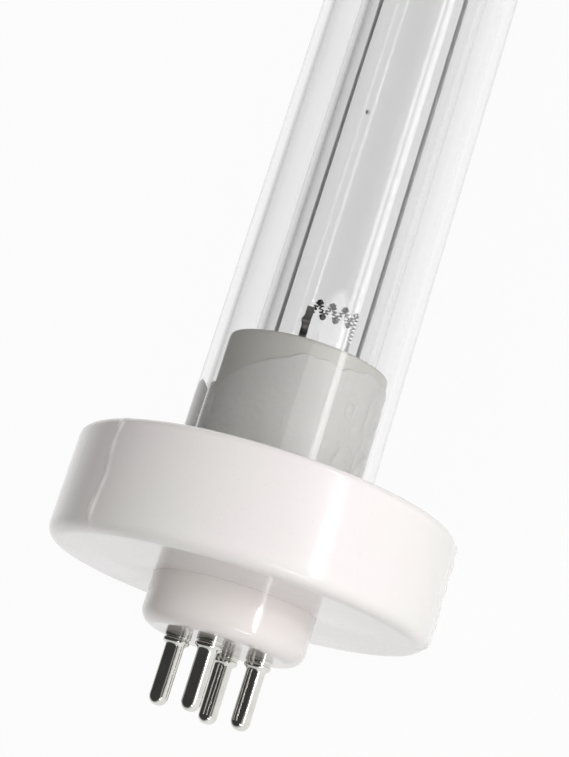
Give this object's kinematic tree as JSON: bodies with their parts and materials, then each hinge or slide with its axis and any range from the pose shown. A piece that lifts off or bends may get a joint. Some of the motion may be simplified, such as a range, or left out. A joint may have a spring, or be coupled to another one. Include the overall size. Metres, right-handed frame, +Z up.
{
  "type": "four-pin germicidal lamp",
  "caption": "Straight quartz germicidal lamp tube inside a domed quartz sleeve, on a round white ceramic flange base with contact pins.",
  "frame": {"origin": "centre of the flange's pin-side face, on the lamp's axis", "axes": "+X along the lamp from the pins to the dome, +Z up across the pin rectangle's long side, +Y across its short side"},
  "size_m": [0.3091, 0.048, 0.048],
  "materials": {
    "glazed_ceramic": "glossy pinkish-white glaze with fine pits",
    "steatite": "smooth fired ivory white",
    "plated_pin": "bright nickel plate",
    "sleeve_quartz": "clear fused quartz",
    "lamp_quartz": "clear fused quartz",
    "cement": "matt white lamp cement",
    "foil": "thin bright foil",
    "nickel": "drawn nickel wire and strip",
    "tungsten": "dark emissive-coated coil",
    "mercury": "liquid metal droplet"
  },
  "bodies": {
    "root": {"flange_ring": "glazed_ceramic", "ceramic_base": "steatite", "contact_pin_1": "plated_pin", "contact_pin_2": "plated_pin", "contact_pin_3": "plated_pin", "contact_pin_4": "plated_pin", "sleeve": "sleeve_quartz", "sleeve_cement": "cement", "flange_cement": "cement", "lamp_tube": "lamp_quartz", "lamp_cement": "cement", "near_foil_left": "foil", "near_foil_right": "foil", "far_foil_left": "foil", "far_foil_right": "foil", "near_post_left": "nickel", "near_post_right": "nickel", "far_post_left": "nickel", "far_post_right": "nickel", "near_filament": "tungsten", "far_filament": "tungsten", "near_wire_left": "nickel", "near_wire_right": "nickel", "return_wire_left": "nickel", "return_wire_right": "nickel", "far_cap": "steatite", "cap_cement": "cement", "mercury_drop": "mercury"}
  },
  "joints": []
}
